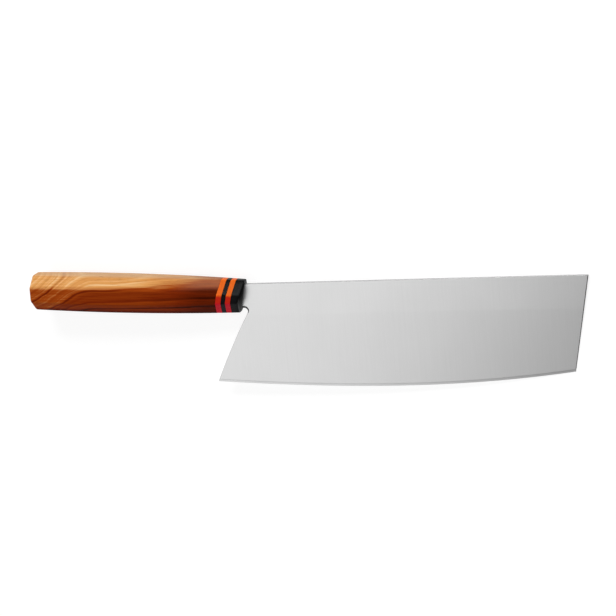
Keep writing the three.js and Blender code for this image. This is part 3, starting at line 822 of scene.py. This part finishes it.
def octagon_sweep():
    """Geometry Nodes that sweep a profile round the handle's swelled octagon.
    A point of the profile is (station, inset, bore): its distance behind the collar's face, how far the
    octagon is drawn in there, and the radius of a round bore in its place, or less than 0 for none.
    Its lean attribute tilts the section towards the tip at the top."""
    tree = bpy.data.node_groups.new("octagon_sweep", "GeometryNodeTree")
    socket = tree.interface.new_socket
    socket("Sleeve", in_out="OUTPUT", socket_type="NodeSocketGeometry")
    socket("Profile", socket_type="NodeSocketGeometry")
    sizes = [f"{place} {name}" for name in SWEEP_SIZES for place in SWEEP_PLACES]
    for name in (*sizes, "Handle Length", "Arris Easing"):
        socket(name, socket_type="NodeSocketFloat")
    for name in ("Arc Points", "Flat Points"):
        socket(name, socket_type="NodeSocketInt")
    socket("Material", socket_type="NodeSocketMaterial")
    given = add(tree, "NodeGroupInput").outputs
    profile, easing = given["Profile"], given["Arris Easing"]
    here = add(tree, "GeometryNodeInputPosition")
    size = add(tree, "GeometryNodeAttributeDomainSize", {"Geometry": profile})
    known = {"rows": size.outputs["Point Count"], "length": given["Handle Length"]}
    known["arc"], known["flat"] = given["Arc Points"], given["Flat Points"]

    # One grid row for each profile point, and one column for each point round the octagon
    shares = add(tree, VECTOR, {0: here, 1: (0.5, 0.5, 0)}, operation="ADD")
    known["along"], known["around"], _ = add(tree, SPLIT, {0: shares}).outputs
    rows = (
        ("per_side", "ADD", "arc", "flat"),
        ("points", "MULTIPLY", "per_side", SIDES),
        ("columns", "ADD", "points", 1.0),
        ("last_row", "SUBTRACT", "rows", 1.0),
        ("row_place", "MULTIPLY", "along", "last_row"),
        ("row", "ROUND", "row_place"),
        ("column_place", "MULTIPLY", "around", "points"),
        ("column", "ROUND", "column_place"),
    )
    work_out(tree, known, rows)
    counts = {"Vertices X": known["rows"], "Vertices Y": known["columns"]}
    grid = add(tree, "GeometryNodeMeshGrid", {"Size X": 1.0, "Size Y": 1.0, **counts})
    lean = add(tree, "GeometryNodeInputNamedAttribute", {"Name": "lean"}, data_type="FLOAT")
    sampled = []
    for value, kind in ((here, "FLOAT_VECTOR"), (lean, "FLOAT")):
        inputs = {"Geometry": profile, "Value": value, "Index": known["row"]}
        sampled.append(add(tree, SAMPLE, inputs, data_type=kind))
    station, inset, bore = add(tree, SPLIT, {0: sampled[0]}).outputs
    known.update(station=station, inset=inset, bore=bore, lean=sampled[1])

    rows = (
        # Each size runs through its values at the collar, half-way and at the butt on one parabola
        ("behind", "DIVIDE", "station", "length"),
        ("rest", "SUBTRACT", 1.0, "behind"),
        ("double", "MULTIPLY_ADD", "behind", 2.0, -1.0),
        ("minus", "MULTIPLY", "double", -1.0),
        ("fourfold", "MULTIPLY", "behind", 4.0),
        ("Collar", "MULTIPLY", "rest", "minus"),
        ("Swell", "MULTIPLY", "rest", "fourfold"),
        ("Butt", "MULTIPLY", "behind", "double"),
        # Which corner a column belongs to, which point of that corner it is, and how far round it that is
        ("side_place", "DIVIDE", "column", "per_side"),
        ("side", "FLOOR", "side_place"),
        ("used", "MULTIPLY", "side", "per_side"),
        ("point", "SUBTRACT", "column", "used"),
        ("arc_last", "SUBTRACT", "arc", 1.0),
        ("share", "DIVIDE", "point", "arc_last"),
        # Which points lie on a facet, and how far across it
        ("on_facet", "GREATER_THAN", "point", "arc_last"),
        ("past_arc", "SUBTRACT", "point", "arc_last"),
        ("gaps", "ADD", "flat", 1.0),
        ("across", "DIVIDE", "past_arc", "gaps"),
        ("in_bore", "GREATER_THAN", "bore", OUTSIDE / 2),
        # The arrises and the drawn-in rims wear first
        ("rest_share", "SUBTRACT", 1.0, "share"),
        ("hump", "MULTIPLY", "share", "rest_share"),
        ("on_arris", "MULTIPLY", "hump", 4.0),
        ("on_rim", "GREATER_THAN", "inset", WELD),
        ("wear", "MAXIMUM", "on_arris", "on_rim"),
    )
    work_out(tree, known, rows)
    weights = add(tree, JOIN, {i: known[place] for i, place in enumerate(SWEEP_PLACES)})
    halves = {}
    for name in SWEEP_SIZES:
        places = add(tree, JOIN, {i: given[f"{place} {name}"] for i, place in enumerate(SWEEP_PLACES)})
        whole = add(tree, VECTOR, {0: weights, 1: places}, operation="DOT_PRODUCT").outputs["Value"]
        draw_in = -math.tan(math.pi / SIDES) if "Flat" in name else -1.0
        drawn = add(tree, MATH, {0: inset, 1: draw_in}, operation="MULTIPLY")
        halves[name] = add(tree, MATH, {0: whole, 1: 0.5, 2: drawn}, operation="MULTIPLY_ADD")
        halves["-" + name] = add(tree, MATH, {0: halves[name], 1: -1.0}, operation="MULTIPLY")

    # The octagon's corners in order, and the one that each column belongs to with its two neighbours
    order = (
        ("Height", "Top Flat"),
        ("Side Flat", "Width"),
        ("-Side Flat", "Width"),
        ("-Height", "Top Flat"),
        ("-Height", "-Top Flat"),
        ("-Side Flat", "-Width"),
        ("Side Flat", "-Width"),
        ("Height", "-Top Flat"),
    )
    corners = [add(tree, JOIN, {"Y": halves[y], "Z": halves[z]}) for y, z in order]
    neighbours = []
    for shift in (SIDES - 1, 0, 1):
        moved = add(tree, MATH, {0: known["side"], 1: shift}, operation="ADD")
        which = add(tree, MATH, {0: moved, 1: SIDES}, operation="MODULO")
        chosen = add(tree, "GeometryNodeIndexSwitch", data_type="VECTOR")
        while len(chosen.index_switch_items) < SIDES:
            chosen.index_switch_items.new()
        feed(tree, chosen, {"Index": which, **{str(i): spot for i, spot in enumerate(corners)}})
        neighbours.append(chosen)
    before, corner, after = neighbours

    # Each corner is eased by a curve, and the points between two curves lie on the facet
    eased = []
    for origin, target in ((corner, before), (corner, after), (after, corner)):
        away = add(tree, VECTOR, {0: target, 1: origin}, operation="SUBTRACT")
        unit = add(tree, VECTOR, {0: away}, operation="NORMALIZE")
        step = add(tree, VECTOR, {0: unit, "Scale": easing}, operation="SCALE")
        eased.append(add(tree, VECTOR, {0: origin, 1: step}, operation="ADD"))
    start, end, next_start = eased
    share, across = known["share"], known["across"]
    first_leg = add(tree, MIX, {"Factor": share, "A": start, "B": corner}, data_type="VECTOR")
    second_leg = add(tree, MIX, {"Factor": share, "A": corner, "B": end}, data_type="VECTOR")
    curve = add(tree, MIX, {"Factor": share, "A": first_leg, "B": second_leg}, data_type="VECTOR")
    facet = add(tree, MIX, {"Factor": across, "A": end, "B": next_start}, data_type="VECTOR")
    choice = {"Switch": known["on_facet"], "False": curve, "True": facet}
    outside = add(tree, SWITCH, choice, input_type="VECTOR")
    outward = add(tree, VECTOR, {0: outside}, operation="NORMALIZE")
    circle = add(tree, VECTOR, {0: outward, "Scale": bore}, operation="SCALE")
    choice = {"Switch": known["in_bore"], "False": outside, "True": circle}
    ring = add(tree, SWITCH, choice, input_type="VECTOR")
    _, y, z = add(tree, SPLIT, {0: ring}).outputs
    tilted = add(tree, MATH, {0: y, 1: known["lean"]}, operation="MULTIPLY")
    x = add(tree, MATH, {0: tilted, 1: station}, operation="SUBTRACT")
    spot = add(tree, JOIN, {"X": x, "Y": y, "Z": z})
    marked = add(
        tree,
        "GeometryNodeStoreNamedAttribute",
        {"Geometry": grid, "Name": "wear", "Value": known["wear"]},
        data_type="FLOAT",
        domain="POINT",
    )
    placed = add(tree, "GeometryNodeSetPosition", {"Geometry": marked, "Position": spot})
    closed = add(tree, "GeometryNodeMergeByDistance", {"Geometry": placed, "Distance": WELD})
    real = add(tree, "GeometryNodeRealizeInstances", {"Geometry": closed})
    dressed = add(tree, "GeometryNodeSetMaterial", {"Geometry": real, "Material": given["Material"]})
    add(tree, "NodeGroupOutput", {"Sleeve": dressed})
    return tree


def swept_mesh(name, rows, material):
    """Sweeps a profile of (station, inset, bore, leans) rows round the octagon, in the row's frame"""
    handle = bpy.context.scene.knife_handle
    total = handle_length()
    profile = bpy.data.meshes.new(name + "_profile")
    profile.from_pydata([row[:3] for row in rows], [(i, i + 1) for i in range(len(rows) - 1)], [])
    lean = profile.attributes.new("lean", "FLOAT", "POINT")
    for value, (station, _, _, leans) in zip(lean.data, rows):
        straightened = min((total - station) / handle.body_length, 1)
        value.value = math.tan(handle.ring_slant) * straightened if leans else 0
    carrier = bpy.data.objects.new(name + "_profile", profile)
    bpy.context.scene.collection.objects.link(carrier)
    tree = bpy.data.node_groups.get("octagon_sweep") or octagon_sweep()
    sweep = carrier.modifiers.new("sweep", "NODES")
    sweep.node_group = tree
    values = {"Handle Length": total, "Material": material}
    for item in tree.interface.items_tree:
        if item.in_out == "INPUT" and item.name != "Profile":
            value = values.get(item.name)
            if value is None:
                value = getattr(handle, item.name.lower().replace(" ", "_"))
            sweep[item.identifier] = value
    seen = bpy.context.evaluated_depsgraph_get()
    mesh = bpy.data.meshes.new_from_object(carrier.evaluated_get(seen))
    carrier.modifiers.remove(sweep)
    bpy.data.objects.remove(carrier)
    mesh.transform(handle_place())
    return mesh


def sleeve_rows(start, end, easing, bore):
    """Profile of a ring: its outside with eased seams, and its bore"""
    return [
        (start, 0, bore, True),
        (start, easing, OUTSIDE, True),
        (start + easing, 0, OUTSIDE, True),
        ((start + end) / 2, 0, OUTSIDE, True),
        (end - easing, 0, OUTSIDE, True),
        (end, easing, OUTSIDE, True),
        (end, 0, bore, True),
        (start, 0, bore, True),
    ]


class KNIFE_OT_blade(bpy.types.Operator):
    """Makes the blade with its ground faces, sharpened band, neck and tang"""

    bl_idname = "knife.blade"
    bl_label = "Blade"

    def execute(self, context):
        blade = context.scene.knife_blade
        mesh = blade_mesh(BladeForm(blade, context.scene.knife_handle))
        mesh.transform(knife_place())
        for steel in (
            # The faces: satin, with faint lines from spine to edge. The real lines are about 0.05 mm apart,
            # and are drawn 0.3 mm apart so that they show
            stainless("satin_stainless", blade.steel, (3.3, 0.03, 0.5), (0.3, 0.34), (0, 1, 1, 1.1)),
            # The sharpened band: painted shade at its upper line, and brighter steel down to the edge
            stainless("honed_steel", blade.honed, (4.0, 0.6, 0.6), (0.26, 0.34), (0.25, 0.5, 0.83, 1)),
            # The spine and heel: ground along their length, duller than the faces
            stainless("ground_steel", blade.ground, (0.02, 6.0, 6.0), (0.38, 0.42), (0, 1, 1, 1)),
            # The end and notch: painted dark, as shade along these rims, with a brighter line along each
            # rim
            stainless("cut_steel", blade.cut, (1.5, 1.5, 4.0), (0.36, 0.48), (0, 1, 1, 1.4)),
        ):
            mesh.materials.append(steel)
        new_piece("knife_blade", mesh, "blade", GRIND_ANGLE)
        return {"FINISHED"}


class KNIFE_OT_collar(bpy.types.Operator):
    """Makes the black collar, slotted for the blade's neck"""

    bl_idname = "knife.collar"
    bl_label = "Collar"

    def execute(self, context):
        handle, blade = context.scene.knife_handle, context.scene.knife_blade
        end, chamfer, seam = handle.collar_length, handle.collar_chamfer, handle.seam_easing
        # Half-way across, the chamfer bows out to this distance from both faces
        bowed = chamfer * 0.3
        rows = [
            (0, 0, 0, True),
            (0, chamfer, OUTSIDE, True),
            (bowed, bowed, OUTSIDE, True),
            (chamfer, 0, OUTSIDE, True),
            (end / 2, 0, OUTSIDE, True),
            (end - seam, 0, OUTSIDE, True),
            (end, seam, OUTSIDE, True),
            (end, 0, handle.dowel_hole, True),
            (handle.dowel_front, 0, handle.dowel_hole, False),
            (handle.dowel_front, 0, 0, False),
        ]
        black = bpy.data.materials.get("black_laminate") or black_laminate(handle)
        mesh = swept_mesh("collar", rows, black)
        piece = new_piece("knife_collar", mesh, "collar")
        slot = bpy.data.meshes.new("neck_slot")
        work = bmesh.new()
        tall, wide = blade.neck_height + 2 * handle.fit, blade.thickness_heel + 2 * handle.fit
        deep = 2 * (handle.dowel_front + handle.fit)
        bmesh.ops.create_cube(work, matrix=Matrix.Diagonal((deep, tall, wide, 1)))
        work.to_mesh(slot)
        work.free()
        neck_middle = Matrix.Translation((0, handle.axis_depth - blade.neck_height / 2, 0))
        slot.transform(handle_place() @ neck_middle)
        cutter = bpy.data.objects.new("neck_slot", slot)
        context.scene.collection.objects.link(cutter)
        cut = piece.modifiers.new("neck_slot", "BOOLEAN")
        cut.object = cutter
        cut.operation = "DIFFERENCE"
        cut.solver = "EXACT"
        seen = context.evaluated_depsgraph_get()
        slotted = bpy.data.meshes.new_from_object(piece.evaluated_get(seen))
        piece.modifiers.remove(cut)
        bpy.data.objects.remove(cutter)
        piece.data = slotted
        slotted.name = "knife_collar"
        return {"FINISHED"}


class KNIFE_OT_rings(bpy.types.Operator):
    """Makes the two red rings and the black ring between them"""

    bl_idname = "knife.rings"
    bl_label = "Rings"

    def execute(self, context):
        handle = context.scene.knife_handle
        red = swirled_resin(handle)
        black = bpy.data.materials.get("black_laminate") or black_laminate(handle)
        start = handle.collar_length + handle.glue_line
        for name, long, material, slot in (
            ("front_ring", handle.front_ring_length, red, "ring_red"),
            ("middle_ring", handle.middle_ring_length, black, "ring_black"),
            ("rear_ring", handle.rear_ring_length, red, "ring_red"),
        ):
            rows = sleeve_rows(start, start + long, handle.seam_easing, handle.dowel_hole)
            mesh = swept_mesh(name, rows, material)
            new_piece("knife_" + name, mesh, name)
            start += long + handle.glue_line
        return {"FINISHED"}


class KNIFE_OT_body(bpy.types.Operator):
    """Makes the swelled wooden body with its rounded butt, drilled for the dowel and the tang"""

    bl_idname = "knife.body"
    bl_label = "Body"

    def execute(self, context):
        handle = context.scene.knife_handle
        total = handle_length()
        start, straight_end = total - handle.body_length, total - handle.butt_rounding
        seam = handle.seam_easing
        rows = [
            (handle.tang_hole_end + handle.drill_point, 0, 0, False),
            (handle.tang_hole_end, 0, handle.tang_hole, False),
            (handle.dowel_end, 0, handle.tang_hole, False),
            (handle.dowel_end, 0, handle.dowel_hole, False),
            (start, 0, handle.dowel_hole, True),
            (start, seam, OUTSIDE, True),
        ]
        for i in range(handle.body_steps + 1):
            station = start + seam + (straight_end - start - seam) * i / handle.body_steps
            rows.append((station, 0, OUTSIDE, True))
        for i in range(1, handle.butt_steps + 1):
            bend = math.pi / 2 * i / handle.butt_steps
            station = straight_end + handle.butt_rounding * math.sin(bend)
            rows.append((station, handle.butt_rounding * (1 - math.cos(bend)), OUTSIDE, True))
        rows.append((total, 0, 0, True))
        mesh = swept_mesh("handle_body", rows, oiled_heartwood(handle))
        new_piece("knife_handle_body", mesh, "handle_body")
        return {"FINISHED"}


class KNIFE_OT_core(bpy.types.Operator):
    """Gives the dowel and the adhesive inside the handle their materials"""

    bl_idname = "knife.core"
    bl_label = "Core"

    def execute(self, context):
        # Turned beech: pale, with short flecks along the dowel
        beech = plain_core("turned_beech", (0.3, 2.0, 2.0), ("#b98a5a", "#d3ac7c"), (0.5, 0.7))
        # Set epoxy: cream and slightly cloudy
        epoxy = plain_core("set_epoxy", (0.3, 0.3, 0.3), ("#c8bf9c", "#d9d2b4"), (0.3, 0.45))
        for name, material in (("core_dowel", beech), ("tang_adhesive", epoxy)):
            for holder in frame["nodes"][name].material_slots:
                holder.material = material
        return {"FINISHED"}


def white_paper(stage):
    """White paper: white to the camera and where the steel mirrors it, with the knife's shadow on it"""
    paper = bpy.data.materials.new("white_paper")
    paper.use_nodes = True
    tree = paper.node_tree
    tree.nodes.clear()
    path = add(tree, "ShaderNodeLightPath").outputs
    seen = path["Is Camera Ray"]
    for ray in ("Is Glossy Ray", "Is Transmission Ray"):
        seen = add(tree, MATH, {0: seen, 1: path[ray]}, operation="MAXIMUM")
    spot = add(tree, "ShaderNodeTexCoord").outputs["Object"]
    away = add(tree, VECTOR, {0: spot}, operation="LENGTH").outputs["Value"]
    # Within 0.6 m of the knife the paper glows less, so that its shadow shows. From 2 m on it is all white
    limits = {"From Min": 0.6, "From Max": 2.0, "To Min": stage.paper_glow, "To Max": 1.0}
    strength = add(tree, RANGE, {"Value": away, **limits})
    glow = add(tree, "ShaderNodeEmission", {"Strength": strength})
    lit = add(tree, "ShaderNodeBsdfDiffuse", {"Color": (*stage.paper, 1)})
    # Less than a third of the light, so that the shadow stays faint
    faint = (*(0.3 * c for c in stage.paper), 1)
    shadowed = add(tree, "ShaderNodeBsdfDiffuse", {"Color": faint})
    white = add(tree, "ShaderNodeAddShader", {0: shadowed, 1: glow})
    mixed = add(tree, "ShaderNodeMixShader", {0: seen, 1: lit, 2: white})
    add(tree, "ShaderNodeOutputMaterial", {"Surface": mixed})
    return paper


def paper_mesh():
    """A round paper floor that turns up into a low wall four metres away"""
    # Radius and height of each ring of the paper, in metres
    rings = ((3.4, 0.0), (3.75, 0.1), (3.95, 0.35), (4.0, 1.6))
    steps = 64
    corners, faces = [], [tuple(range(steps))]
    for radius, height in rings:
        for i in range(steps):
            turn = 2 * math.pi * i / steps
            corners.append((radius * math.cos(turn), radius * math.sin(turn), height))
    for start in range(0, steps * (len(rings) - 1), steps):
        for i in range(steps):
            this, other = start + i, start + (i + 1) % steps
            faces.append((this, this + steps, other + steps, other))
    mesh = bpy.data.meshes.new("paper")
    mesh.from_pydata(corners, [], faces)
    return mesh


class KNIFE_OT_stage(bpy.types.Operator):
    """Makes the paper floor, the lights, the surroundings and the camera"""

    bl_idname = "knife.stage"
    bl_label = "Stage"

    def execute(self, context):
        scene, stage = context.scene, context.scene.knife_stage
        scene.view_settings.view_transform = "Standard"

        sheet = paper_mesh()
        sheet.materials.append(white_paper(stage))
        floor = bpy.data.objects.new("floor", sheet)
        scene.collection.objects.link(floor)

        world = bpy.data.worlds.new("studio")
        world.use_nodes = True
        tree = world.node_tree
        tree.nodes.clear()
        sky = add(tree, "ShaderNodeBackground", {"Color": (1, 1, 1, 1), "Strength": stage.surroundings})
        add(tree, "ShaderNodeOutputWorld", {"Surface": sky})
        scene.world = world

        # Each lamp faces a point of the floor. The key and fill stand beside the knife, and the panels hang
        # where the blade's faces mirror them. The fill isn't mirrored
        for name, spot, aim, size, mirrored in (
            ("key", (-0.12, 1.0, 0.7), (0, 0), (0.9, 0.35), True),
            ("spine_panel", (-0.59, -0.05, 1.3), (-0.59, -0.05), (1.42, 0.7), True),
            ("heel_panel", (-0.72, -0.8, 1.3), (-0.72, -0.8), (1.16, 0.8), True),
            ("tip_panel", (0.055, -0.8, 1.3), (0.055, -0.8), (0.39, 0.8), True),
            ("fill", (-0.1, -1.0, 0.75), (0, 0), (1.0, 0.4), False),
        ):
            lamp = bpy.data.lights.new(name, "AREA")
            lamp.energy = getattr(stage, name + "_power")
            lamp.shape = "RECTANGLE"
            lamp.size, lamp.size_y = size
            light = bpy.data.objects.new(name, lamp)
            light.location = spot
            ahead = Vector((*aim, 0)) - Vector(spot)
            light.rotation_euler = ahead.to_track_quat("-Z", "Y").to_euler()
            light.visible_camera = False
            light.visible_glossy = mirrored
            scene.collection.objects.link(light)

        turn, rise, roll = stage.camera_turn, stage.camera_rise, stage.camera_roll
        back = Vector((math.sin(turn) * math.cos(rise), math.sin(rise), math.cos(turn) * math.cos(rise)))
        right = Vector((0, 1, 0)).cross(back).normalized()
        facing = Matrix((right, back.cross(right), back)).transposed().to_4x4()
        aim = Matrix.Translation(Vector(stage.camera_aim) + back * stage.camera_distance)
        lens = bpy.data.cameras.new("camera")
        lens.sensor_width = SENSOR
        lens.lens = SENSOR * stage.camera_pixels / PHOTO_PIXELS
        camera = bpy.data.objects.new("camera", lens)
        camera.matrix_world = knife_place() @ aim @ facing @ Matrix.Rotation(roll, 4, "Z")
        scene.collection.objects.link(camera)
        scene.camera = camera
        return {"FINISHED"}


PIECES = (KNIFE_OT_blade, KNIFE_OT_collar, KNIFE_OT_rings, KNIFE_OT_body, KNIFE_OT_core, KNIFE_OT_stage)
SETTINGS = (
    ("knife_blade", BladeSettings),
    ("knife_handle", HandleSettings),
    ("knife_stage", StageSettings),
)


class KNIFE_PT_sidebar(bpy.types.Panel):
    """Lists the knife's settings and pieces"""

    bl_idname = "KNIFE_PT_sidebar"
    bl_label = "Knife"
    bl_space_type = "VIEW_3D"
    bl_region_type = "UI"
    bl_category = "Knife"

    def draw(self, context):
        for name, group in SETTINGS:
            box = self.layout.box()
            box.label(text=group.bl_rna.name)
            for setting in group.__annotations__:
                box.prop(getattr(context.scene, name), setting)
        for piece in PIECES:
            self.layout.operator(piece.bl_idname)


def register():
    """Registers the settings, the operators and the panel"""
    for name, group in SETTINGS:
        bpy.utils.register_class(group)
        setattr(bpy.types.Scene, name, PointerProperty(type=group))
    for item in (*PIECES, KNIFE_PT_sidebar):
        bpy.utils.register_class(item)


def unregister():
    """Takes them away again, in the opposite order"""
    for item in (KNIFE_PT_sidebar, *reversed(PIECES)):
        bpy.utils.unregister_class(item)
    for name, group in reversed(SETTINGS):
        delattr(bpy.types.Scene, name)
        bpy.utils.unregister_class(group)


def main():
    """Makes the knife and its stage"""
    register()
    bpy.ops.knife.blade()
    bpy.ops.knife.collar()
    bpy.ops.knife.rings()
    bpy.ops.knife.body()
    bpy.ops.knife.core()
    bpy.ops.knife.stage()
    bpy.context.view_layer.update()


if __name__ == "__main__":
    main()
